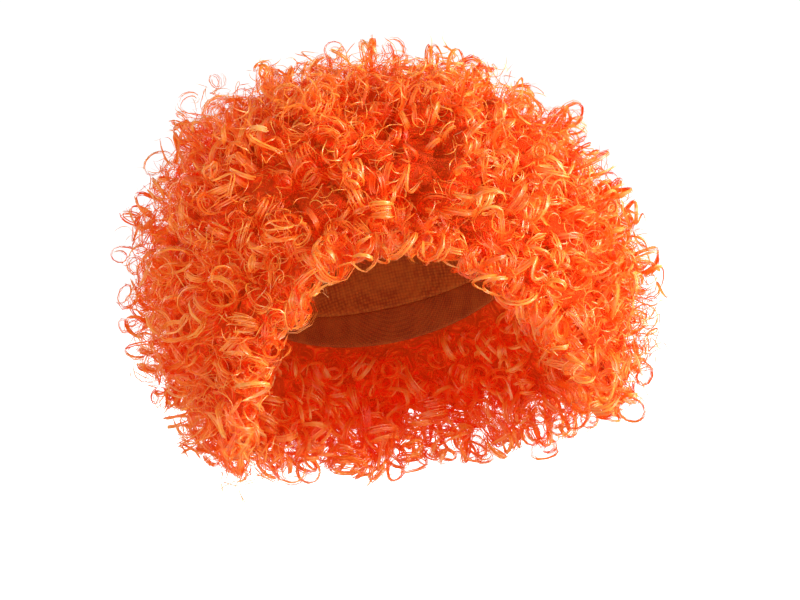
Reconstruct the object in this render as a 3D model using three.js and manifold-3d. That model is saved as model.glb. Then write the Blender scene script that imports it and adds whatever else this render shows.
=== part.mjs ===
// A curly costume wig: a domed stretch cap, an elastic band round its edge, and wefts of curled
// hair sewn round the cap in rows from the crown to the edge.
// Millimetres, +Z up, the face opening towards -Y and the wearer's left towards +X.
// The origin is inside the crown of the cap, where the top of the head bears.

import * as THREE from "three";
import { mergeVertices } from "three/addons/utils/BufferGeometryUtils.js";
import Module from "manifold-3d";

const wasm = await Module();
wasm.setup();

const rad = THREE.MathUtils.degToRad;
const { smoothstep } = THREE.MathUtils;

// The head inside the cap and the ball of hair round it share one centre, below the crown.
const CENTRE_DEPTH = 95;
const HEAD_RADII = { side: 75, front: 92, back: 97, up: CENTRE_DEPTH };
const HAIR_RADII = { side: 146, front: 140, back: 150, up: 144 };
const HAIR_LEAN = 0.08; // the ball of hair is fuller low on the wearer's left and high on the right

// The cap's edge runs from high on the forehead to low on the nape.
// It is given as the angle from straight up, at the ears, and how far it swings to front and back.
const EDGE_AT_EARS = rad(87);
const EDGE_SWING = rad(31);

// The hem, where the hair's outside ends: an arch over the face, then lower from the sides of the
// neck to the nape.
const HEM_AT_FACE = rad(70);
const HEM_AT_SIDES = rad(133);
const HEM_AT_NAPE = rad(148);
const HEM_ARCH_FROM = rad(5);
const HEM_ARCH_TO = rad(77);
const HEM_LOW_FROM = rad(140);

const CAP_WALL = 1.6;
const BAND_WALL = 2.4;
const BAND_SHARE = 0.115; // of the way from the crown to the edge: half of the edge weft
const GAP = 0.6; // between pieces, across the wall
const SEAM_SHARE = 0.002; // half the gap between neighbours along the cap
const SIDES = 24; // facets round the head

// The wefts, as shares of the way from the crown to the edge.
const WEFTS = [
  { name: "crown_weft", from: 0, to: 0.3 },
  { name: "upper_weft", from: 0.3, to: 0.54 },
  { name: "lower_weft", from: 0.54, to: 0.77 },
  { name: "edge_weft", from: 0.77, to: 1 },
];

// Each lock is curled round into a ring that stands half sunk in the dense hair. The locks zigzag
// along their weft and tip to all sides.
const CURL_DEPTH = 14; // from the tops of the locks down to the dense hair
const LOCK_AREA = 2950; // of the ball's surface, for each lock
const LOCK_RADIUS = { least: 21, spread: 7 };
const LOCK_THICKNESS = 0.37; // radius of the lock's own section, as a share of the ring's
const LOCK_TIP = { least: rad(14), spread: rad(40) };
const LOCK_FACETS = { round: 7, section: 4 };

const HAIR_COLOUR = 0xf0641e;
const CAP_COLOUR = 0xb8521c;
const BAND_COLOUR = 0xa34414;

// A point of an ellipsoid round the shared centre, which may lean to one side. `turn` runs from
// the front towards +X, and `fall` from straight up.
function onEllipsoid(radii, turn, fall, lean = 0) {
  const way = new THREE.Vector3(
    Math.sin(fall) * Math.sin(turn),
    -Math.sin(fall) * Math.cos(turn),
    Math.cos(fall),
  );
  const deep = way.y < 0 ? radii.front : radii.back;
  const reach = 1 / Math.hypot(way.x / radii.side, way.y / deep, way.z / radii.up);
  const leaning = 1 - lean * way.x * way.z;
  return way.multiplyScalar(reach * leaning).add(new THREE.Vector3(0, 0, -CENTRE_DEPTH));
}

function grown(radii, by) {
  return Object.fromEntries(Object.entries(radii).map(([key, value]) => [key, value + by]));
}

function edgeFall(turn) {
  return EDGE_AT_EARS - EDGE_SWING * Math.cos(turn);
}

function hemFall(turn) {
  const arch = smoothstep(Math.abs(turn), HEM_ARCH_FROM, HEM_ARCH_TO);
  const drop = smoothstep(Math.abs(turn), HEM_ARCH_TO, HEM_LOW_FROM);
  return HEM_AT_FACE + (HEM_AT_SIDES - HEM_AT_FACE) * arch + (HEM_AT_NAPE - HEM_AT_SIDES) * drop;
}

// A point of the cap: `share` of the way from crown to edge, `out` millimetres outside the head.
function capPoint(turn, share, out) {
  return onEllipsoid(grown(HEAD_RADII, out), turn, share * edgeFall(turn));
}

// A point in the hair: `level` is 0 at the cap, 1 on the dense hair and 2 at the locks' tips.
function hairPoint(turn, share, level) {
  const root = capPoint(turn, share, CAP_WALL + GAP);
  const tip = onEllipsoid(HAIR_RADII, turn, share * hemFall(turn), HAIR_LEAN);
  const way = tip.clone().sub(root);
  const dense = 1 - CURL_DEPTH / way.length();
  const along = level < 1 ? level * dense : dense + (level - 1) * (1 - dense);
  return root.addScaledVector(way, along);
}

// Moves each vertex of a geometry by a function, and merges the vertices that then coincide.
function bent(geometry, move) {
  const place = geometry.getAttribute("position");
  const at = new THREE.Vector3();
  for (let i = 0; i < place.count; i++) {
    at.copy(move(at.fromBufferAttribute(place, i)));
    place.setXYZ(i, at.x, at.y, at.z);
  }
  geometry.deleteAttribute("normal");
  geometry.deleteAttribute("uv");
  return mergeVertices(geometry);
}

// A ring round the head: a closed profile of [share, level] pairs turned through a full circle,
// with each vertex then put where `point` says. From profile edge `crossed` on, the facets are
// split along their other diagonal.
function ring(profile, point, crossed = profile.length) {
  const outline = profile.map(([share, level]) => new THREE.Vector2(share, level));
  const geometry = new THREE.LatheGeometry(outline, SIDES);
  const column = outline.length;
  for (let side = 0; side < SIDES; side++) {
    for (let edge = crossed; edge < column - 1; edge++) {
      const [a, b] = [side * column + edge, (side + 1) * column + edge];
      geometry.index.array.set([a, b, b + 1, a, b + 1, a + 1], 6 * (side * (column - 1) + edge));
    }
  }
  return bent(geometry, (v) => point(Math.atan2(v.x, v.z), Math.hypot(v.x, v.z), v.y));
}

function toSolid(geometry) {
  return new wasm.Manifold(
    new wasm.Mesh({
      numProp: 3,
      vertProperties: geometry.getAttribute("position").array,
      triVerts: new Uint32Array(geometry.index.array),
    }),
  );
}

function toGeometry(solid) {
  const mesh = solid.getMesh();
  return new THREE.BufferGeometry()
    .setAttribute("position", new THREE.BufferAttribute(mesh.vertProperties, 3))
    .setIndex(new THREE.BufferAttribute(mesh.triVerts, 1));
}

function piece(name, geometry, colour, roughness) {
  const material = new THREE.MeshStandardMaterial({ color: colour, roughness, metalness: 0 });
  const mesh = new THREE.Mesh(geometry, material);
  mesh.name = name;
  return mesh;
}

// Cap: a thin dome whose facets follow the rows of hair, so that they lie flat on it.
function cap() {
  const edge = 1 - BAND_SHARE - SEAM_SHARE;
  const rows = WEFTS.flatMap(({ from, to }) => [from, (from + to) / 2]).filter((s) => s < edge);
  const inside = [...rows, edge].map((share) => [share, 0]);
  const outside = [...rows, edge].map((share) => [share, CAP_WALL]).reverse();
  return ring([...inside, ...outside], capPoint, inside.length);
}

// Edge band: a flat elastic strip that goes on from the cap's wall to the edge.
function edgeBand() {
  const [top, bottom] = [1 - BAND_SHARE + SEAM_SHARE, 1];
  const inner = CAP_WALL - BAND_WALL;
  const profile = [
    [top, inner],
    [bottom, inner],
    [bottom, CAP_WALL],
    [top, CAP_WALL],
    [top, inner],
  ];
  return ring(profile, capPoint, 2);
}

// The space of one weft between its neighbours, from the cap out through some levels of hair.
// Its upper side is split crosswise, so that it runs parallel to the lower side of the next.
function weftSpace({ from, to }, levels) {
  const middle = (from + to) / 2;
  const low = to - SEAM_SHARE;
  const high = from === 0 ? 0 : from + SEAM_SHARE;
  const inside = [high, middle].map((share) => [share, 0]);
  const lowerSide = [0, ...levels].map((level) => [low, level]);
  const top = [middle, levels.at(-1)];
  const upperSide = [0, ...levels].map((level) => [high, level]).reverse();
  if (from === 0) {
    return toSolid(ring([...inside, ...lowerSide, top, upperSide[0]], hairPoint));
  }
  const profile = [...inside, ...lowerSide, top, ...upperSide];
  return toSolid(ring(profile, hairPoint, profile.length - upperSide.length));
}

// One lock, with its top at `top` and its ring tipped from `outward` towards `aside`.
function lock(top, outward, aside, radius, tipping) {
  const thick = radius * LOCK_THICKNESS;
  const middling = radius - thick;
  const axis = outward.clone().multiplyScalar(Math.cos(tipping));
  axis.addScaledVector(aside, Math.sin(tipping));
  const upright = new THREE.Quaternion().setFromUnitVectors(new THREE.Vector3(0, 0, 1), axis);
  const centre = top.clone().addScaledVector(outward, -middling * Math.sin(tipping) - thick);
  const curl = new THREE.TorusGeometry(middling, thick, LOCK_FACETS.section, LOCK_FACETS.round);
  return toSolid(bent(curl, (v) => v.applyQuaternion(upright).add(centre)));
}

// How wide a weft is at its outside.
function weftWidth({ from, to }, turn) {
  return hairPoint(turn, from, 2).distanceTo(hairPoint(turn, to, 2));
}

// The turns at which a weft's locks stand, closer together where the weft is wide.
// Those of the crown stand in one ring round the lock in its middle.
function lockTurns(row) {
  const crown = row.from === 0;
  const share = crown ? 0.75 * row.to : (row.from + row.to) / 2;
  const steps = 720;
  const turns = [];
  let filled = 0;
  for (let i = 0; i < steps; i++) {
    const turn = ((2 * i) / steps - 1) * Math.PI;
    const next = turn + (2 * Math.PI) / steps;
    if (filled >= turns.length) {
      turns.push(turn);
    }
    const way = hairPoint(turn, share, 2).distanceTo(hairPoint(next, share, 2));
    filled += (way * (crown ? Math.sqrt(LOCK_AREA) : weftWidth(row, turn))) / LOCK_AREA;
  }
  return turns;
}

// Where the locks of one weft stand: by turns along its lower and its upper side.
function lockPlaces(row) {
  const crown = row.from === 0;
  const places = lockTurns(row).map((turn, i) => {
    const width = weftWidth(row, turn);
    const wanted = LOCK_RADIUS.least + LOCK_RADIUS.spread * ((i * 0.618) % 1);
    const radius = Math.min(wanted, 0.47 * width);
    const inset = (row.to - row.from) * (radius / width);
    return { turn, radius, share: crown || i % 2 === 0 ? row.to - inset : row.from + inset };
  });
  return crown ? [{ turn: 0, radius: LOCK_RADIUS.least, share: 0 }, ...places] : places;
}

function locksOf(row) {
  const locks = lockPlaces(row).map(({ turn, radius, share }, i) => {
    const top = hairPoint(turn, share, 2);
    const outward = top.clone().sub(hairPoint(turn, share, 1)).normalize();
    const aside = new THREE.Vector3(Math.sin(5 * i), Math.sin(7 * i), Math.sin(11 * i));
    aside.cross(outward).normalize();
    const tipping = LOCK_TIP.least + LOCK_TIP.spread * ((i * 0.414) % 1);
    return lock(top, outward, aside, radius, tipping);
  });
  return wasm.Manifold.union(locks).intersect(weftSpace(row, [1, 2.5]));
}

// A weft: its dense hair with its locks on it, and any pocket closed in between them filled.
function weft(row) {
  const fused = weftSpace(row, [1]).add(locksOf(row)).simplify(0.3);
  const bodies = fused.decompose().sort((a, b) => b.volume() - a.volume());
  return toGeometry(bodies[0]);
}

const wig = new THREE.Group();
wig.name = "curly_wig";
wig.add(piece("cap", cap(), CAP_COLOUR, 0.85));
wig.add(piece("edge_band", edgeBand(), BAND_COLOUR, 0.75));
for (const row of WEFTS) {
  wig.add(piece(row.name, weft(row), HAIR_COLOUR, 0.45));
}

export default wig;
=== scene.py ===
import bpy
import numpy as np
from mathutils import Matrix, Vector


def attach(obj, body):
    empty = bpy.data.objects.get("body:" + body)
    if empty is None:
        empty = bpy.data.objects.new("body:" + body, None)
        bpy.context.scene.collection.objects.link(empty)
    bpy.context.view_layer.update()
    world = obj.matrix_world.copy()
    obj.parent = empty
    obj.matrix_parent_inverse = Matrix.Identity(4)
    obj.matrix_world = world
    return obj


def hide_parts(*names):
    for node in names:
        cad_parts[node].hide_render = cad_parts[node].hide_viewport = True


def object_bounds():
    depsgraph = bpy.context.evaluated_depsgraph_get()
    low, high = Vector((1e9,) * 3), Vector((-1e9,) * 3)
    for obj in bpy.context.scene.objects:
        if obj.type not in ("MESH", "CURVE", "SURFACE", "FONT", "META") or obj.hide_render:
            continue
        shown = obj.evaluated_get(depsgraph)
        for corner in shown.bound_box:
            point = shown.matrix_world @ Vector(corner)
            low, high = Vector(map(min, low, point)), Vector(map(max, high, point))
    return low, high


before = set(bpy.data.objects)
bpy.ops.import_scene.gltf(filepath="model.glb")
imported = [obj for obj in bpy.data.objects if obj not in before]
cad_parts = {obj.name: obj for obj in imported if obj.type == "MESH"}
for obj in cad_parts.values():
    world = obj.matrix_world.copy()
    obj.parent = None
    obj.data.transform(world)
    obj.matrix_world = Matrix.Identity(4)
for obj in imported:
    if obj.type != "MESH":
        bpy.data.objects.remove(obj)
cad_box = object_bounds()

# Cap: a dome of knitted stretch net, open at the front and below, that carries all the hair.
# The wefts are sewn to it row by row, so lines of stitching run round its inside.
MM = 0.001
CENTRE = np.array([0.0, 0.0, -95.0])
CAP_RADII = {"side": 75.0, "front": 92.0, "back": 97.0, "up": 95.0}
EDGE_AT_EARS = np.radians(87)
EDGE_SWING = np.radians(31)
CAP_WALL = 1.6
CROWN_SHARE = 0.004
CAP_SHARE = 0.889
CAP_ROUND = 96
STITCH_ROWS = 9
STITCH_STEPS = 6
STITCH_RELIEF = 0.5
STITCH_EDGE = 0.45
NET_COLOUR = (0.72, 0.19, 0.022, 1)
# Painted shade: the darker colour the net gets between its loops.
NET_PAINTED_SHADE = (0.44, 0.075, 0.009, 1)
NET_LOOPS_PER_METRE = 520
NET_ROUGHNESS = 0.85


def on_ellipsoid(radii, turn, fall, lean=0.0):
    """Points round the shared centre: turn runs from the front towards +X, fall from straight up."""
    way = np.stack(
        [np.sin(fall) * np.sin(turn), -np.sin(fall) * np.cos(turn), np.cos(fall)], axis=-1
    )
    deep = np.where(way[..., 1] < 0, radii["front"], radii["back"])
    flat = np.stack([way[..., 0] / radii["side"], way[..., 1] / deep, way[..., 2] / radii["up"]], -1)
    reach = (1 - lean * way[..., 0] * way[..., 2]) / np.linalg.norm(flat, axis=-1)
    return CENTRE + way * reach[..., None]


def cap_point(turn, share, out):
    """A point of the cap: share of the way from crown to edge, out millimetres off its inside."""
    radii = {side: radius + out for side, radius in CAP_RADII.items()}
    return on_ellipsoid(radii, turn, share * (EDGE_AT_EARS - EDGE_SWING * np.cos(turn)))


def ring_faces(rings, columns):
    """Quads between rings of points, each closed on itself, with the last ring joined to the first."""
    ring, column = np.meshgrid(np.arange(rings), np.arange(columns), indexing="ij")
    after = (ring + 1) % rings
    beside = (column + 1) % columns
    quads = [
        ring * columns + column,
        ring * columns + beside,
        after * columns + beside,
        after * columns + column,
    ]
    return np.stack(quads, axis=-1).reshape(-1, 4)


def add_piece(name, node, points, quads, material):
    """A smooth mesh from points in millimetres and four-cornered faces, in place of a CAD node."""
    mesh = bpy.data.meshes.new(name)
    mesh.vertices.add(len(points))
    mesh.vertices.foreach_set("co", np.asarray(points * MM, dtype=np.float32).ravel())
    mesh.loops.add(quads.size)
    mesh.loops.foreach_set("vertex_index", quads.ravel().astype(np.int32))
    mesh.polygons.add(len(quads))
    mesh.polygons.foreach_set("loop_start", np.arange(0, quads.size, 4, dtype=np.int32))
    mesh.polygons.foreach_set("use_smooth", np.ones(len(quads), dtype=bool))
    mesh.update(calc_edges=True)
    mesh.materials.append(material)
    piece = bpy.data.objects.new(name, mesh)
    bpy.context.collection.objects.link(piece)
    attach(piece, "root")
    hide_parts(node)
    return piece


def new_material(name):
    material = bpy.data.materials.new(name)
    material.use_nodes = True
    return material, material.node_tree.nodes, material.node_tree.links


def knit_group():
    """A fine knit: rows of small loops, as painted shade between the loops for the colour and a height
    for the bump.
    """
    group = bpy.data.node_groups.new("fine knit", "ShaderNodeTree")
    group.interface.new_socket("Loops per metre", in_out="INPUT", socket_type="NodeSocketFloat")
    group.interface.new_socket("Shade", in_out="OUTPUT", socket_type="NodeSocketFloat")
    group.interface.new_socket("Height", in_out="OUTPUT", socket_type="NodeSocketFloat")
    nodes, links = group.nodes, group.links
    start = nodes.new("NodeGroupInput")
    end = nodes.new("NodeGroupOutput")
    place = nodes.new("ShaderNodeTexCoord")
    loops = nodes.new("ShaderNodeTexVoronoi")
    loops.inputs["Randomness"].default_value = 0.25
    fluff = nodes.new("ShaderNodeTexNoise")
    fluff.inputs["Scale"].default_value = 90
    fluff.inputs["Detail"].default_value = 4
    both = nodes.new("ShaderNodeMath")
    both.operation = "MULTIPLY"
    links.new(place.outputs["Object"], loops.inputs["Vector"])
    links.new(place.outputs["Object"], fluff.inputs["Vector"])
    links.new(start.outputs["Loops per metre"], loops.inputs["Scale"])
    links.new(loops.outputs["Distance"], both.inputs[0])
    links.new(fluff.outputs["Fac"], both.inputs[1])
    links.new(both.outputs["Value"], end.inputs["Shade"])
    links.new(loops.outputs["Distance"], end.inputs["Height"])
    return group


fine_knit = knit_group()


def cloth_material(name, painted_shade, light, loops_per_metre, roughness):
    """Matt knitted or woven cloth in its own colour on top of its threads, with painted shade between
    them.
    """
    material, nodes, links = new_material(name)
    cloth = nodes["Principled BSDF"]
    cloth.inputs["Roughness"].default_value = roughness
    cloth.inputs["Specular IOR Level"].default_value = 0.25
    knit = nodes.new("ShaderNodeGroup")
    knit.node_tree = fine_knit
    knit.inputs["Loops per metre"].default_value = loops_per_metre
    tint = nodes.new("ShaderNodeValToRGB")
    tint.color_ramp.elements[0].position = 0.08
    tint.color_ramp.elements[0].color = light
    tint.color_ramp.elements[1].position = 0.42
    tint.color_ramp.elements[1].color = painted_shade
    bump = nodes.new("ShaderNodeBump")
    bump.invert = True
    bump.inputs["Strength"].default_value = 0.6
    bump.inputs["Distance"].default_value = 0.0006
    links.new(knit.outputs["Shade"], tint.inputs["Fac"])
    links.new(tint.outputs["Color"], cloth.inputs["Base Color"])
    links.new(knit.outputs["Height"], bump.inputs["Height"])
    links.new(bump.outputs["Normal"], cloth.inputs["Normal"])
    return material


def make_cap():
    turns = np.linspace(-np.pi, np.pi, CAP_ROUND, endpoint=False)
    shares = np.linspace(CROWN_SHARE, CAP_SHARE, STITCH_STEPS * STITCH_ROWS)
    stitched = np.cos(2 * np.pi * shares / CAP_SHARE * STITCH_ROWS) > STITCH_EDGE
    inside = [cap_point(turns, share, -STITCH_RELIEF * row) for share, row in zip(shares, stitched)]
    outside = [cap_point(turns, share, CAP_WALL) for share in shares[::-STITCH_STEPS]]
    rings = inside + outside
    net = cloth_material("stretch net", NET_PAINTED_SHADE, NET_COLOUR, NET_LOOPS_PER_METRE, NET_ROUGHNESS)
    faces = ring_faces(len(rings), CAP_ROUND)
    add_piece("cap_net", "cap", np.concatenate(rings), faces, net)


make_cap()

# Edge band: a flat elastic strip sewn on all round the edge of the cap, from the fringe past
# the sides to the nape. It is woven, with soft rounded edges.
BAND_WALL = 2.4
BAND_TOP = 0.887
BAND_SECTION = 14
BAND_EDGE_ROUNDING = {"across": 0.4, "through": 0.6}
ELASTIC_COLOUR = (0.62, 0.145, 0.018, 1)
# Painted shade: the darker colour the elastic gets between its threads.
ELASTIC_PAINTED_SHADE = (0.38, 0.06, 0.008, 1)
ELASTIC_LOOPS_PER_METRE = 900
ELASTIC_ROUGHNESS = 0.75


def make_edge_band():
    turns = np.linspace(-np.pi, np.pi, CAP_ROUND, endpoint=False)
    middle = (BAND_TOP + 1) / 2
    rings = []
    for angle in np.linspace(0, 2 * np.pi, BAND_SECTION, endpoint=False):
        across = np.sign(np.cos(angle)) * abs(np.cos(angle)) ** BAND_EDGE_ROUNDING["across"]
        through = np.sign(np.sin(angle)) * abs(np.sin(angle)) ** BAND_EDGE_ROUNDING["through"]
        share = middle + across * (1 - BAND_TOP) / 2
        rings.append(cap_point(turns, share, CAP_WALL - BAND_WALL / 2 - through * BAND_WALL / 2))
    elastic = cloth_material(
        "woven elastic", ELASTIC_PAINTED_SHADE, ELASTIC_COLOUR, ELASTIC_LOOPS_PER_METRE, ELASTIC_ROUGHNESS
    )
    faces = ring_faces(BAND_SECTION, CAP_ROUND)
    add_piece("edge_band_elastic", "edge_band", np.concatenate(rings), faces, elastic)


make_edge_band()

# Dense hair: under the loose curls each weft is a thick mat of crimped fibre from its row of
# stitching outwards. It shows only between the curls, in a deep red-orange that is painted shade, with a
# faint red glow of painted light.
HAIR_RADII = {"side": 146.0, "front": 140.0, "back": 150.0, "up": 144.0}
HAIR_LEAN = 0.08
HEM_AT_FACE = np.radians(70)
HEM_AT_SIDES = np.radians(133)
HEM_AT_NAPE = np.radians(148)
HEM_ARCH = np.radians([5, 77])
HEM_DROP = np.radians([77, 140])
GAP = 0.6
CURL_DEPTH = 16.0
WEFTS = {
    "crown_weft": (0.0, 0.3),
    "upper_weft": (0.3, 0.54),
    "lower_weft": (0.54, 0.77),
    "edge_weft": (0.77, 1.0),
}
DENSE_ROUND = 180
DENSE_STEPS = 14
DENSE_LUMP = 3.0
LUMP_WAVES = (9.0, 13.0)
HEM_RECESS = 0.05
HEM_WALL_STEPS = np.linspace(0.12, 0.88, 7)
GOLDEN_TURN = np.radians(137.508)
TUFTS_ROUND_BALL = 230
CREVICE_DEPTH = 12.0
CREVICE_WIDTH = 6.5
# The front has hollows with few curls in them. A bunch is the reverse, so its depth is negative.
HOLLOWS = (
    {"turn": -23, "fall": 46, "depth": 15, "width": 19},
    {"turn": 31, "fall": 42, "depth": 13, "width": 17},
    {"turn": 18, "fall": 28, "depth": 15, "width": 20},
    {"turn": 12, "fall": 58, "depth": 11, "width": 14},
    {"turn": 5, "fall": 46, "depth": 6, "width": 42},
)
BUNCHES = (
    {"turn": -90, "fall": 31, "depth": -9, "width": 36},
    {"turn": 80, "fall": 38, "depth": -7, "width": 32},
)
HOLLOW_BARE = 0.85
HOLLOW_FULL = 15.0
# The dense hair's deep red colours are painted shade, and its glow is painted light.
DENSE_COLOURS_IN_PAINTED_SHADE = [(0.97, 0.030, 0.001, 1), (0.98, 0.100, 0.004, 1)]
FIBRE_STEP = 0.02
DENSE_PAINTED_GLOW = 0.12


def smooth_step(value, limits):
    part = np.clip((value - limits[0]) / (limits[1] - limits[0]), 0, 1)
    return part * part * (3 - 2 * part)


def hem_fall(turn):
    """Where the hair's outside ends: an arch at the front, then lower from the sides to the nape."""
    arch = smooth_step(np.abs(turn), HEM_ARCH)
    drop = smooth_step(np.abs(turn), HEM_DROP)
    return HEM_AT_FACE + (HEM_AT_SIDES - HEM_AT_FACE) * arch + (HEM_AT_NAPE - HEM_AT_SIDES) * drop


def wrapped(turn):
    return np.arctan2(np.sin(turn), np.cos(turn))


def sunflower(count):
    """Directions spread evenly over a ball, as turns and falls."""
    index = np.arange(count)
    return wrapped(index * GOLDEN_TURN), np.arccos(1 - (2 * index + 1) / count)


def unit(vectors):
    return vectors / np.maximum(np.linalg.norm(vectors, axis=-1, keepdims=True), 1e-9)


tuft_turn, tuft_fall = sunflower(TUFTS_ROUND_BALL)
tufts = on_ellipsoid(HAIR_RADII, tuft_turn, tuft_fall, HAIR_LEAN)


def crevice(points):
    """How deep the hair's outside dips between tufts."""
    apart = np.linalg.norm(points[..., None, :] - tufts, axis=-1)
    nearest = np.sort(apart, axis=-1)[..., :2]
    return CREVICE_DEPTH * np.exp(-(nearest[..., 1] - nearest[..., 0]) / CREVICE_WIDTH)


def hollow(points):
    """How deep the hair's outside dips in the hollows, less how far it swells in the bunches."""
    depth = 0
    for place in HOLLOWS + BUNCHES:
        turn, fall = np.radians([place["turn"], place["fall"]])
        middle = on_ellipsoid(HAIR_RADII, turn, fall, HAIR_LEAN)
        away = np.linalg.norm(points - middle, axis=-1) / place["width"]
        depth = depth + place["depth"] * np.exp(-away * away)
    return depth


def dip(points):
    return crevice(points) + hollow(points)


def bare(random, points):
    """Which places are left without curls, most of those in the middle of a hollow."""
    return random.random(len(points)) < HOLLOW_BARE * np.clip(hollow(points) / HOLLOW_FULL, 0, 1)


def hair_point(turn, share, below):
    """A point in the hair on the line from the cap to the ball's outside, below it by some mm."""
    root = cap_point(turn, share, CAP_WALL + GAP)
    tip = on_ellipsoid(HAIR_RADII, turn, share * hem_fall(turn), HAIR_LEAN)
    return tip + unit(root - tip) * np.minimum(below, np.linalg.norm(root - tip, axis=-1))[..., None]


def make_dense_hair(weft, material):
    first, last = WEFTS[weft]
    turns = np.linspace(-np.pi, np.pi, DENSE_ROUND, endpoint=False)
    recess = HEM_RECESS if last == 1 else 0
    shares = np.linspace(max(first, CROWN_SHARE), last, DENSE_STEPS)
    outside = []
    for share in np.linspace(shares[0], last - recess, DENSE_STEPS):
        level = np.full(DENSE_ROUND, share)
        surface = hair_point(turns, level, np.zeros(DENSE_ROUND))
        waves = np.sin(surface / LUMP_WAVES[0] + np.roll(surface, 1, axis=-1) / LUMP_WAVES[1])
        lumps = DENSE_LUMP * waves.mean(axis=-1)
        outside.append(hair_point(turns, level, CURL_DEPTH + dip(surface) + lumps))
    inside = [cap_point(turns, share, CAP_WALL + GAP) for share in shares[::-1]]
    walls = []
    for part in HEM_WALL_STEPS:
        root = cap_point(turns, last - recess * (1 - part**3), CAP_WALL + GAP)
        walls.append(outside[-1] * (1 - part) + root * part)
    rings = outside + walls + inside
    faces = ring_faces(len(rings), DENSE_ROUND)
    add_piece(weft + "_dense", weft, np.concatenate(rings), faces, material)


def dense_material():
    """Crimped fibre packed close: curved lines of fibre along the contours of a soft noise, in deep red
    painted shade with a faint glow of painted light.
    """
    material, nodes, links = new_material("dense hair")
    fibre = nodes["Principled BSDF"]
    fibre.inputs["Roughness"].default_value = 0.65
    fibre.inputs["Specular IOR Level"].default_value = 0.15
    fibre.inputs["Emission Strength"].default_value = DENSE_PAINTED_GLOW
    place = nodes.new("ShaderNodeTexCoord")
    swirl = nodes.new("ShaderNodeTexNoise")
    swirl.inputs["Scale"].default_value = 75
    swirl.inputs["Detail"].default_value = 1.5
    swirl.inputs["Distortion"].default_value = 1.2
    contour = nodes.new("ShaderNodeMath")
    contour.operation = "PINGPONG"
    contour.inputs[1].default_value = FIBRE_STEP
    line = nodes.new("ShaderNodeMapRange")
    line.inputs["From Max"].default_value = FIBRE_STEP
    tint = nodes.new("ShaderNodeValToRGB")
    tint.color_ramp.elements[0].position = 0.1
    tint.color_ramp.elements[0].color = DENSE_COLOURS_IN_PAINTED_SHADE[0]
    tint.color_ramp.elements[1].position = 0.9
    tint.color_ramp.elements[1].color = DENSE_COLOURS_IN_PAINTED_SHADE[1]
    bump = nodes.new("ShaderNodeBump")
    bump.inputs["Strength"].default_value = 0.8
    bump.inputs["Distance"].default_value = 0.001
    links.new(place.outputs["Object"], swirl.inputs["Vector"])
    links.new(swirl.outputs["Fac"], contour.inputs[0])
    links.new(contour.outputs["Value"], line.inputs["Value"])
    links.new(line.outputs["Result"], tint.inputs["Fac"])
    links.new(tint.outputs["Color"], fibre.inputs["Base Color"])
    links.new(tint.outputs["Color"], fibre.inputs["Emission Color"])
    links.new(line.outputs["Result"], bump.inputs["Height"])
    links.new(bump.outputs["Normal"], fibre.inputs["Normal"])
    return material


dense_hair = dense_material()
for weft in WEFTS:
    make_dense_hair(weft, dense_hair)

# Ringlets: the fibre is set in small corkscrew curls that stand out of the mat and fall over to
# all sides. Each is a lock of fine strands wound side by side, drawn together towards its tip.
SEED = 11
DOWN = np.array([0.0, 0.0, -1.0])
# Where the ringlets lie. Some stand proud of the rest, and the hair's length differs round the hem.
# Left is the +X side and right the -X side, here and in the names of the pieces.
RINGLETS_ROUND_BALL = 2000
RINGLET_JITTER = 0.03
FALL_LIMITS = (0.01, 3.0)
RINGLET_BELOW = (-1.0, 11.0)
RINGLETS_PROUD = 0.28
RINGLET_PROUD = (4.0, 17.0)
RINGLETS_END = 0.95
NAPE_LONGER = 0.06
RIGHT_SHORTER = 0.07
LEFT_LONGER = 0.10
LEFT_OF_FACE = np.radians([45, 20])
# The coil of a ringlet, from its root in the mat. Near the hem it hangs less, so that it keeps its place.
RINGLET_RADIUS = (4.0, 10.0)
RINGLET_TURNS = (1.3, 2.2)
RINGLET_LENGTH = (12.0, 24.0)
RINGLET_LYING = 0.5
RINGLET_STAND = (0.0, 1.0)
RINGLET_DROOP = 0.5
RINGLET_SAG = (0.0, 6.0)
RINGLET_SWAY = {"end": 0.95, "over": 0.25, "least": 0.05}
RINGLET_ROOT = (20.0, 26.0)
ROOT_SPREAD = 1.5
RINGLET_STALK = 0.35
RINGLET_FRIZZ = (0.2, 1.5)
RINGLET_CLOSING = (0.0, 0.5)
# The strands of a lock and how they lie beside each other.
STRANDS_IN_RINGLET = 12
LOCK_THICKNESS = (0.9, 1.9)
LOCK_LOOSE = (0.6, 0.7)
LOCK_TIP = 0.75
LOCK_SPREAD = 0.8
LOCK_TWIST = 3.5
STRAND_STEPS = 18
STRAND_WIDTH = (0.35, 0.75)
STRAND_TAPER = {"root": 0.08, "tip": 0.2, "least": 0.25}
STRAND_ROLL = 0.35
STRAND_UNEVEN = 0.05
STRAND_STRAY = 0.2
STRAND_RIPPLE = 0.7
RIPPLE_WAVES = (1.0, 3.0)
TRIM = 12.0
# Each strand has one of a few tones. Curls low in the hair are redder with painted shade, and those that
# stand proud paler with painted light.
TONES = 16
TONE_SPREAD = {"lock": 0.12, "strand": 0.07}
CHART_EDGE = 0.04
RINGLET_PALE = 0.52
PAINTED_SHADE_IN_DIPS = 0.5
DIP_OF_FULL_PAINTED_SHADE = 20.0
PAINTED_LIGHT_PER_MM_PROUD = 0.006
# The fibre's colours from red to pale, and what makes it paler: along it, with painted shade at the root,
# its tone and its streaks.
# A faint red glow stands in for the light that passes through it.
HAIR_COLOURS = (
    (0.10, (0.91, 0.032, 0.001, 1)),
    (0.42, (0.92, 0.175, 0.007, 1)),
    (0.72, (0.94, 0.390, 0.045, 1)),
    (1.0, (0.96, 0.620, 0.340, 1)),
)
PALER_BY = (0.35, 0.50, 0.30)
STREAKS = (2.5, 5.0, 300.0)
HAIR_SHEEN = 0.75
HAIR_ROUGHNESS = (0.45, 0.30)
HAIR_GLOW = 0.085
GLOW_COLOUR = (1.0, 0.03, 0.0, 1)


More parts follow.
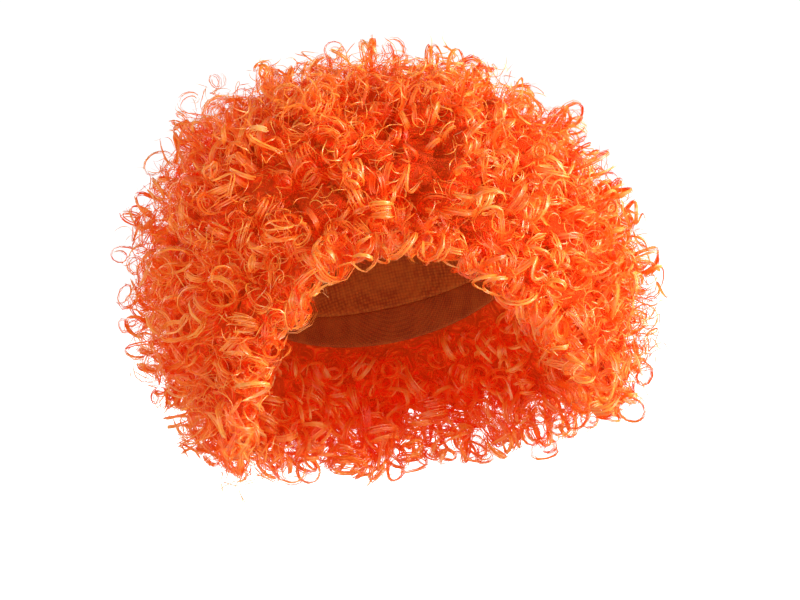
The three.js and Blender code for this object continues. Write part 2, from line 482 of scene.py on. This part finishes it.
def hair_material():
    """Bright orange synthetic fibre in fine streaks: redder at the root with painted shade, paler at the
    tip.
    """
    material, nodes, links = new_material("curled hair")
    fibre = nodes["Principled BSDF"]
    fibre.inputs["Specular IOR Level"].default_value = HAIR_SHEEN
    fibre.inputs["Emission Color"].default_value = GLOW_COLOUR
    fibre.inputs["Emission Strength"].default_value = HAIR_GLOW
    along = nodes.new("ShaderNodeAttribute")
    along.attribute_name = "along"
    across = nodes.new("ShaderNodeAttribute")
    across.attribute_name = "across"
    tone = nodes.new("ShaderNodeAttribute")
    tone.attribute_name = "tone"
    place = nodes.new("ShaderNodeCombineXYZ")
    stretch = nodes.new("ShaderNodeVectorMath")
    stretch.operation = "MULTIPLY"
    stretch.inputs[1].default_value = STREAKS
    streaks = nodes.new("ShaderNodeTexNoise")
    streaks.inputs["Scale"].default_value = 1
    streaks.inputs["Detail"].default_value = 2
    causes = nodes.new("ShaderNodeCombineXYZ")
    paleness = nodes.new("ShaderNodeVectorMath")
    paleness.operation = "DOT_PRODUCT"
    paleness.inputs[1].default_value = PALER_BY
    tint = nodes.new("ShaderNodeValToRGB")
    tint.color_ramp.elements[0].position = HAIR_COLOURS[0][0]
    tint.color_ramp.elements[0].color = HAIR_COLOURS[0][1]
    tint.color_ramp.elements[1].position = HAIR_COLOURS[-1][0]
    tint.color_ramp.elements[1].color = HAIR_COLOURS[-1][1]
    for position, colour in HAIR_COLOURS[1:-1]:
        tint.color_ramp.elements.new(position).color = colour
    gloss = nodes.new("ShaderNodeMapRange")
    gloss.inputs["To Min"].default_value = HAIR_ROUGHNESS[0]
    gloss.inputs["To Max"].default_value = HAIR_ROUGHNESS[1]
    bump = nodes.new("ShaderNodeBump")
    bump.inputs["Strength"].default_value = 0.3
    bump.inputs["Distance"].default_value = 0.0002
    links.new(across.outputs["Fac"], place.inputs["X"])
    links.new(along.outputs["Fac"], place.inputs["Y"])
    links.new(tone.outputs["Fac"], place.inputs["Z"])
    links.new(place.outputs["Vector"], stretch.inputs[0])
    links.new(stretch.outputs["Vector"], streaks.inputs["Vector"])
    links.new(along.outputs["Fac"], causes.inputs["X"])
    links.new(tone.outputs["Fac"], causes.inputs["Y"])
    links.new(streaks.outputs["Fac"], causes.inputs["Z"])
    links.new(causes.outputs["Vector"], paleness.inputs[0])
    links.new(paleness.outputs["Value"], tint.inputs["Fac"])
    links.new(tint.outputs["Color"], fibre.inputs["Base Color"])
    links.new(tone.outputs["Fac"], gloss.inputs["Value"])
    links.new(gloss.outputs["Result"], fibre.inputs["Roughness"])
    links.new(streaks.outputs["Fac"], bump.inputs["Height"])
    links.new(bump.outputs["Normal"], fibre.inputs["Normal"])
    return material


def trimmed(points):
    """Hair cut to shape: what would pass the solids' box ends a few millimetres outside it."""
    low, high = np.array(cad_box) / MM
    over = np.maximum(points - high, 0) - np.maximum(low - points, 0)
    return points - over + TRIM * np.tanh(over / TRIM)


def add_strands(name, weft, material, centres, across, width, tone):
    """Flat strands along rows of points. Centres and across are strands x steps x 3."""
    centres = trimmed(centres)
    count, steps = centres.shape[:2]
    ahead = unit(np.gradient(centres, axis=1))
    across = unit(across - ahead * (ahead * across).sum(axis=-1, keepdims=True))
    along = np.linspace(0, 1, steps)
    taper = np.minimum(along / STRAND_TAPER["root"], (1 - along) / STRAND_TAPER["tip"])
    taper = np.clip(taper, STRAND_TAPER["least"], 1)
    half = across * (width[:, None, None] / 2 * taper[:, None])
    points = np.stack([centres - half, centres + half], axis=2)
    first = (np.arange(count)[:, None] * steps + np.arange(steps - 1)) * 2
    quads = (first[..., None] + [0, 1, 3, 2]).reshape(-1, 4)
    piece = add_piece(name, weft, points.reshape(-1, 3), quads, material)
    column = np.repeat(np.round(tone * (TONES - 1)), steps * 2)
    values = {
        "tone": column / (TONES - 1),
        "along": np.tile(np.repeat(along, 2), count),
        "across": np.tile([0.0, 1.0], count * steps),
    }
    for label, value in values.items():
        layer = piece.data.attributes.new(label, "FLOAT", "POINT")
        layer.data.foreach_set("value", value.astype(np.float32))
    beside = CHART_EDGE + (1 - 2 * CHART_EDGE) * values["across"]
    chart = np.stack([(column + beside) / TONES, values["along"]], axis=-1)
    layer = piece.data.uv_layers.new(name="OFBake")
    layer.data.foreach_set("uv", chart[quads.ravel()].astype(np.float32).ravel())


def between(random, limits, shape):
    return limits[0] + (limits[1] - limits[0]) * random.random(shape)


def handed(random, shape):
    """Which way curls wind: -1 or 1, equally often."""
    return np.where(random.random(shape) < 0.5, -1.0, 1.0)


def scattered(random, count, jitter):
    """Turns and falls spread over the ball, each moved a little at random."""
    turn, fall = sunflower(count)
    turn = wrapped(turn + random.normal(0, jitter, count))
    fall = np.clip(fall + random.normal(0, jitter, count), *FALL_LIMITS)
    return turn, fall


def beside_left_of_face(turn):
    """1 where the hair hangs lowest, left of the front opening, and 0 away from there."""
    return np.exp(-(((turn - LEFT_OF_FACE[0]) / LEFT_OF_FACE[1]) ** 2))


def ringlet_strands(random, number, tops, outward, sway, proud, pale):
    """Centre lines, width ways, widths and tones of ringlets of some strands each, up to tops."""
    count = len(tops)
    each = (count, 1, 1)
    strands = (count, number, 1)
    tops, outward = tops[:, None, None], outward[:, None, None]
    sway, proud, pale = sway[:, None, None], proud[:, None, None], pale[:, None, None]
    along = np.linspace(0, 1, STRAND_STEPS)
    stand = between(random, RINGLET_STAND, (count, 1, 1, 1))
    aside = np.cross(outward, random.normal(0, 1, outward.shape))
    aside = unit(aside + RINGLET_DROOP * sway[..., None] * DOWN)
    axis = unit(outward * stand + aside * np.sqrt(1 - stand * stand))
    upright = np.abs((axis * outward).sum(axis=-1))
    length = between(random, RINGLET_LENGTH, each) * (RINGLET_LYING + (1 - RINGLET_LYING) * upright)
    radius = between(random, RINGLET_RADIUS, each)
    deep = radius * np.sqrt(1 - upright * upright) + upright * length / 2
    frizzy = np.where(proud > 0, RINGLET_FRIZZ[0], between(random, RINGLET_FRIZZ, each))
    drawn_in = 1 - LOCK_TIP * along**3
    thick = between(random, LOCK_THICKNESS, each) * (LOCK_LOOSE[0] + LOCK_LOOSE[1] * frizzy) * drawn_in
    hand = handed(random, each)
    reach = along * (1 + STRAND_UNEVEN * random.normal(0, 1, strands))
    angle = 2 * np.pi * (random.random(each) + hand * between(random, RINGLET_TURNS, each) * reach)
    angle = angle + frizzy * random.normal(0, STRAND_STRAY, strands)
    phase = random.random(strands)
    ripple = np.sin(2 * np.pi * (phase + between(random, RIPPLE_WAVES, strands) * along))
    spread = radius * (1 - between(random, RINGLET_CLOSING, each) * along**2)
    twist = hand * LOCK_TWIST * along
    inward = random.normal(0, LOCK_SPREAD, strands)
    sideways = random.normal(0, LOCK_SPREAD, strands)
    spread = spread + thick * (inward * np.cos(twist) - sideways * np.sin(twist))
    spread = spread + frizzy * STRAND_RIPPLE * ripple
    rise = length * (reach - 0.5) + thick * (inward * np.sin(twist) + sideways * np.cos(twist))
    first = unit(np.cross(axis, random.normal(0, 1, axis.shape)))
    second = np.cross(axis, first)
    curl = np.cos(angle)[..., None] * first + np.sin(angle)[..., None] * second
    centres = tops - outward * deep[..., None] + axis * rise[..., None] + curl * spread[..., None]
    centres = centres + DOWN * (between(random, RINGLET_SAG, each) * sway * reach**2)[..., None]
    root = tops - outward * (between(random, RINGLET_ROOT, each) + proud)[..., None]
    root = root + random.normal(0, ROOT_SPREAD, (count, number, 1, 3))
    rooted = np.clip(1 - along / RINGLET_STALK, 0, 1)[:, None] ** 2
    centres = centres + rooted * (root - centres[:, :, :1])
    roll = random.normal(0, STRAND_ROLL, strands)[..., None]
    across = np.cos(roll) * axis + np.sin(roll) * curl
    width = between(random, STRAND_WIDTH, strands)
    tone = pale + random.normal(0, TONE_SPREAD["lock"], each)
    tone = np.clip(tone + random.normal(0, TONE_SPREAD["strand"], strands), 0, 1)
    lines = (-1, STRAND_STEPS, 3)
    return centres.reshape(lines), across.reshape(lines), width.ravel(), tone.ravel()


def make_ringlets(random):
    count = RINGLETS_ROUND_BALL
    turn, fall = scattered(random, count, RINGLET_JITTER)
    share = fall / hem_fall(turn)
    surface = on_ellipsoid(HAIR_RADII, turn, fall, HAIR_LEAN)
    outward = unit(surface - CENTRE)
    proud = between(random, RINGLET_PROUD, count)
    proud = np.where(random.random(count) < RINGLETS_PROUD, proud, 0)
    low = dip(surface) + between(random, RINGLET_BELOW, count) - proud
    empty = bare(random, surface)
    # Painted shade makes curls in the dips redder, and painted light makes those that stand proud paler.
    pale = RINGLET_PALE - PAINTED_SHADE_IN_DIPS * np.clip(dip(surface) / DIP_OF_FULL_PAINTED_SHADE, 0, 1) + PAINTED_LIGHT_PER_MM_PROUD * proud
    tops = surface - outward * low[:, None]
    sway = np.clip((RINGLET_SWAY["end"] - share) / RINGLET_SWAY["over"], RINGLET_SWAY["least"], 1)
    end = RINGLETS_END + NAPE_LONGER * smooth_step(np.abs(turn), HEM_DROP)
    end = end - RIGHT_SHORTER * np.maximum(-np.sin(turn), 0) ** 4
    end = end + LEFT_LONGER * beside_left_of_face(turn)
    for weft, (first, last) in WEFTS.items():
        stop = end if last == 1 else last
        within = ~empty & (share >= first) & (share < stop)
        for side, sign in (("right", -1), ("left", 1)):
            chosen = within & (turn * sign >= 0)
            facts = [fact[chosen] for fact in (tops, outward, sway, proud, pale)]
            strands = ringlet_strands(random, STRANDS_IN_RINGLET, *facts)
            add_strands(weft + "_ringlets_" + side, weft, curled_hair, *strands)


curled_hair = hair_material()
chance = np.random.default_rng(SEED)
make_ringlets(chance)

# Hem curls: the last row of hair turns under all round the edge, over the front opening, beside
# it and down the nape. Its ringlets are short and lie close, so that the opening stays free.
HEM_CURLS_ROUND = 76
HEM_CURL_LEVELS = (0.22, 0.39, 0.56, 0.73, 0.89)
HEM_CURL_NEAREST = 0.2
HEM_CURL_JITTER = {"turn": 0.03, "level": 0.05}
HEM_CURL_PROUD = (1.0, 7.0)
HEM_CURL_NAPE = 9.0
HEM_CURL_LEFT = 16.0
HEM_CURL_SIDES = {"right": 20.0, "left": 6.0}
HEM_CURL_SWAY = 0.1
HEM_CURL_PALE = 0.42
ABOVE_HEM = 0.96


def make_hem_curls(random):
    turns = np.linspace(-np.pi, np.pi, HEM_CURLS_ROUND, endpoint=False)
    turn, level = np.meshgrid(turns, HEM_CURL_LEVELS)
    turn = wrapped(turn.ravel() + random.normal(0, HEM_CURL_JITTER["turn"], turn.size))
    level = level.ravel() + random.normal(0, HEM_CURL_JITTER["level"], level.size)
    level = np.clip(level, HEM_CURL_NEAREST, 1)

    def at(share):
        """Points at each curl's level between the cap and the ball's outside."""
        share = np.full(len(turn), share)
        root = cap_point(turn, share, CAP_WALL + GAP)
        tip = on_ellipsoid(HAIR_RADII, turn, share * hem_fall(turn), HAIR_LEAN)
        return root + (tip - root) * level[:, None]

    tops = at(1.0)
    outward = unit(tops - at(ABOVE_HEM))
    low = HEM_CURL_NAPE * smooth_step(np.abs(turn), HEM_DROP) * level
    low = low + HEM_CURL_LEFT * beside_left_of_face(turn) * level
    short = np.where(turn < 0, HEM_CURL_SIDES["right"], HEM_CURL_SIDES["left"])
    short = short * np.sin(turn) ** 4 * level
    tops = tops + outward * (between(random, HEM_CURL_PROUD, len(turn)) + low - short)[:, None]
    sway = np.full(len(turn), HEM_CURL_SWAY)
    pale = np.full(len(turn), HEM_CURL_PALE)
    strands = ringlet_strands(random, STRANDS_IN_RINGLET, tops, outward, sway, low, pale)
    add_strands("edge_weft_hem_curls", "edge_weft", curled_hair, *strands)


make_hem_curls(chance)

# Stray curls: thin ringlets that have worked loose stand well clear of the ball, so that its
# outline is open and uneven. Each is a lock of only a few strands.
STRAY_CURLS_ROUND_BALL = 400
STRAY_CURL_JITTER = 0.06
STRAY_CURL_PROUD = (5.0, 15.0)
STRAY_CURLS_END = 0.84
STRAY_CURL_HOLLOW = 1.5
STRAY_CURL_SWAY = 0.5
STRAY_CURL_PALE = 0.52
STRANDS_IN_STRAY_CURL = 5


def make_stray_curls(random):
    turn, fall = scattered(random, STRAY_CURLS_ROUND_BALL, STRAY_CURL_JITTER)
    share = fall / hem_fall(turn)
    surface = on_ellipsoid(HAIR_RADII, turn, fall, HAIR_LEAN)
    sunken = hollow(surface) > STRAY_CURL_HOLLOW
    outward = unit(surface - CENTRE)
    proud = between(random, STRAY_CURL_PROUD, len(turn))
    tops = surface + outward * (proud - hollow(surface))[:, None]
    sway = np.full(len(turn), STRAY_CURL_SWAY)
    pale = np.full(len(turn), STRAY_CURL_PALE)
    for weft, (first, last) in WEFTS.items():
        kept = ~sunken & (share >= first) & (share < min(last, STRAY_CURLS_END))
        facts = [fact[kept] for fact in (tops, outward, sway, proud, pale)]
        strands = ringlet_strands(random, STRANDS_IN_STRAY_CURL, *facts)
        add_strands(weft + "_stray_curls", weft, curled_hair, *strands)


make_stray_curls(chance)

# Loose hairs: thin frizz lies between the ringlets all over the ball, and some single hairs stand
# out of it in hooks and loops. A flyaway is two crossed strips, so that it shows from all sides.
LOOSE_STEPS = 16
LOOSE_HAIRS = {
    "frizz": {
        "number": 5200, "width": (0.3, 0.6), "radius": (2.5, 6.0), "turns": (0.8, 1.5),
        "rise": (10.0, 24.0), "below": (3.0, 13.0), "stand": 0.3, "rolls": (0.0,),
    },
    "flyaways": {
        "number": 500, "width": (0.3, 0.5), "radius": (3.5, 8.0), "turns": (0.9, 1.6),
        "rise": (6.0, 16.0), "below": (0.0, 8.0), "stand": 0.9, "rolls": (0.0, np.pi / 2),
    },
}
LOOSE_JITTER = 0.05
LOOSE_DIP = 0.8
LOOSE_LEAN = 0.6
LOOSE_CLOSING = 0.4
LOOSE_TONES = (0.2, 0.8)


def make_loose_hairs(random, kind, sizes):
    number = sizes["number"]
    turn, fall = scattered(random, number, LOOSE_JITTER)
    share = fall / hem_fall(turn)
    roots = on_ellipsoid(HAIR_RADII, turn, fall, HAIR_LEAN)
    empty = bare(random, roots)
    outward = unit(roots - CENTRE)
    below = LOOSE_DIP * dip(roots) + between(random, sizes["below"], number)
    roots = roots - outward * below[:, None]
    each = (number, 1)
    axis = unit(outward * sizes["stand"] + random.normal(0, LOOSE_LEAN, outward.shape))
    first_way = unit(np.cross(axis, random.normal(0, 1, outward.shape)))[:, None]
    second_way = np.cross(axis[:, None], first_way)
    along = np.linspace(0, 1, LOOSE_STEPS)
    hand = handed(random, each)
    angle = 2 * np.pi * (random.random(each) + hand * between(random, sizes["turns"], each) * along)
    radius = between(random, sizes["radius"], each) * (1 - LOOSE_CLOSING * along)
    rise = between(random, sizes["rise"], each) * along
    curl = np.cos(angle)[..., None] * first_way + np.sin(angle)[..., None] * second_way
    centres = roots[:, None] + axis[:, None] * rise[..., None] + curl * radius[..., None]
    roll = random.normal(0, STRAND_ROLL, each)[..., None]
    tilts = [roll + more for more in sizes["rolls"]]
    across = [np.cos(tilt) * axis[:, None] + np.sin(tilt) * curl for tilt in tilts]
    tones = between(random, LOOSE_TONES, number)
    width = between(random, sizes["width"], number)
    for weft, (first, last) in WEFTS.items():
        kept = ~empty & (share >= first) & (share < min(last, RINGLETS_END))
        lines = np.concatenate([centres[kept]] * len(across))
        ways = np.concatenate([way[kept] for way in across])
        widths = np.tile(width[kept], len(across))
        shades = np.tile(tones[kept], len(across))
        add_strands(weft + "_" + kind, weft, curled_hair, lines, ways, widths, shades)


for kind, sizes in LOOSE_HAIRS.items():
    make_loose_hairs(chance, kind, sizes)

# Studio: a plain pale floor and a backdrop that is white round the horizon and dimmer above and
# below, with a large soft lamp on the +X side and weaker ones in front and behind.
FLOOR_LEVEL = -0.42
FLOOR_SIZE = 80.0
FLOOR_COLOUR = (0.93, 0.93, 0.93, 1)
FLOOR_ROUGHNESS = 0.9
FLOOR_GLOW = 0.8
BACKDROP_LIGHT = (
    {"height": -1.0, "light": 0.55},
    {"height": -0.1, "light": 0.60},
    {"height": -0.03, "light": 1.0},
    {"height": 0.15, "light": 1.0},
    {"height": 0.45, "light": 0.28},
)
LAMPS = (
    {"name": "key", "place": (1.5, -0.55, -0.05), "size": 1.1, "power": 52, "colour": (1, 0.96, 0.87)},
    {"name": "front", "place": (-0.9, -1.1, 0.2), "size": 0.8, "power": 5, "colour": (1, 1, 1)},
    {"name": "back", "place": (-0.7, 1.4, 0.5), "size": 1.0, "power": 13, "colour": (1, 1, 1)},
)
LIGHT_BOUNCES = 24


def make_floor():
    half = FLOOR_SIZE / 2
    corners = [(x * half, y * half, FLOOR_LEVEL) for x, y in ((-1, -1), (1, -1), (1, 1), (-1, 1))]
    floor_mesh = bpy.data.meshes.new("floor")
    floor_mesh.from_pydata(corners, [], [(0, 1, 2, 3)])
    floor = bpy.data.objects.new("floor", floor_mesh)
    bpy.context.collection.objects.link(floor)
    pale, nodes = new_material("pale floor")[:2]
    finish = nodes["Principled BSDF"]
    finish.inputs["Base Color"].default_value = FLOOR_COLOUR
    finish.inputs["Roughness"].default_value = FLOOR_ROUGHNESS
    finish.inputs["Emission Color"].default_value = FLOOR_COLOUR
    finish.inputs["Emission Strength"].default_value = FLOOR_GLOW
    floor_mesh.materials.append(pale)
    floor.visible_diffuse = False
    floor.visible_glossy = False


def make_backdrop():
    world = bpy.data.worlds.new("studio")
    world.use_nodes = True
    nodes, links = world.node_tree.nodes, world.node_tree.links
    way = nodes.new("ShaderNodeTexCoord")
    parts = nodes.new("ShaderNodeSeparateXYZ")
    level = nodes.new("ShaderNodeMapRange")
    level.inputs["From Min"].default_value = -1
    light = nodes.new("ShaderNodeValToRGB")
    stops = light.color_ramp.elements
    stops.remove(stops[1])
    for row in BACKDROP_LIGHT:
        stop = stops.new((row["height"] + 1) / 2)
        stop.color = (row["light"], row["light"], row["light"], 1)
    stops.remove(stops[0])
    links.new(way.outputs["Generated"], parts.inputs["Vector"])
    links.new(parts.outputs["Z"], level.inputs["Value"])
    links.new(level.outputs["Result"], light.inputs["Fac"])
    links.new(light.outputs["Color"], nodes["Background"].inputs["Color"])
    bpy.context.scene.world = world


def add_lamp(name, place, size, power, colour):
    """A round soft lamp that faces the hair."""
    lamp = bpy.data.lights.new(name, "AREA")
    lamp.shape = "DISK"
    lamp.size = size
    lamp.energy = power
    lamp.color = colour
    holder = bpy.data.objects.new(name, lamp)
    holder.location = place
    holder.rotation_euler = (hair_middle - Vector(place)).to_track_quat("-Z", "Y").to_euler()
    bpy.context.collection.objects.link(holder)


make_floor()
make_backdrop()
hair_middle = Vector(CENTRE * MM)
for lamp in LAMPS:
    add_lamp(**lamp)
bpy.context.scene.view_settings.view_transform = "Standard"
bpy.context.scene.cycles.diffuse_bounces = LIGHT_BOUNCES
bpy.context.scene.cycles.max_bounces = LIGHT_BOUNCES

# Camera: in front of the opening and a little above the middle of the hair, rolled as the
# photograph is. The ball of hair has the same place and size in the picture.
PHOTO_WIDTH = 800
PHOTO_MIDDLE = (400, 300)
BALL_IN_PHOTO = (393, 299)
BALL_RADIUS_IN_PHOTO = 252
CAMERA_DISTANCE = 1.3
CAMERA_HEIGHT = np.radians(12)
CAMERA_ROLL = np.radians(13)
SENSOR = 36.0


def make_camera():
    metres_per_pixel = HAIR_RADII["side"] * MM / BALL_RADIUS_IN_PHOTO
    camera = bpy.data.cameras.new("camera")
    camera.sensor_width = SENSOR
    camera.lens = SENSOR * CAMERA_DISTANCE / (PHOTO_WIDTH * metres_per_pixel)
    camera.shift_x = (PHOTO_MIDDLE[0] - BALL_IN_PHOTO[0]) / PHOTO_WIDTH
    camera.shift_y = (BALL_IN_PHOTO[1] - PHOTO_MIDDLE[1]) / PHOTO_WIDTH
    back = Vector((0, -np.cos(CAMERA_HEIGHT), np.sin(CAMERA_HEIGHT)))
    right = Vector((1, 0, 0))
    up = back.cross(right)
    rolled_right = right * np.cos(CAMERA_ROLL) - up * np.sin(CAMERA_ROLL)
    rolled_up = up * np.cos(CAMERA_ROLL) + right * np.sin(CAMERA_ROLL)
    holder = bpy.data.objects.new("camera", camera)
    turned = Matrix((rolled_right, rolled_up, back)).transposed().to_4x4()
    holder.matrix_world = Matrix.Translation(hair_middle + back * CAMERA_DISTANCE) @ turned
    bpy.context.collection.objects.link(holder)
    bpy.context.scene.camera = holder


make_camera()
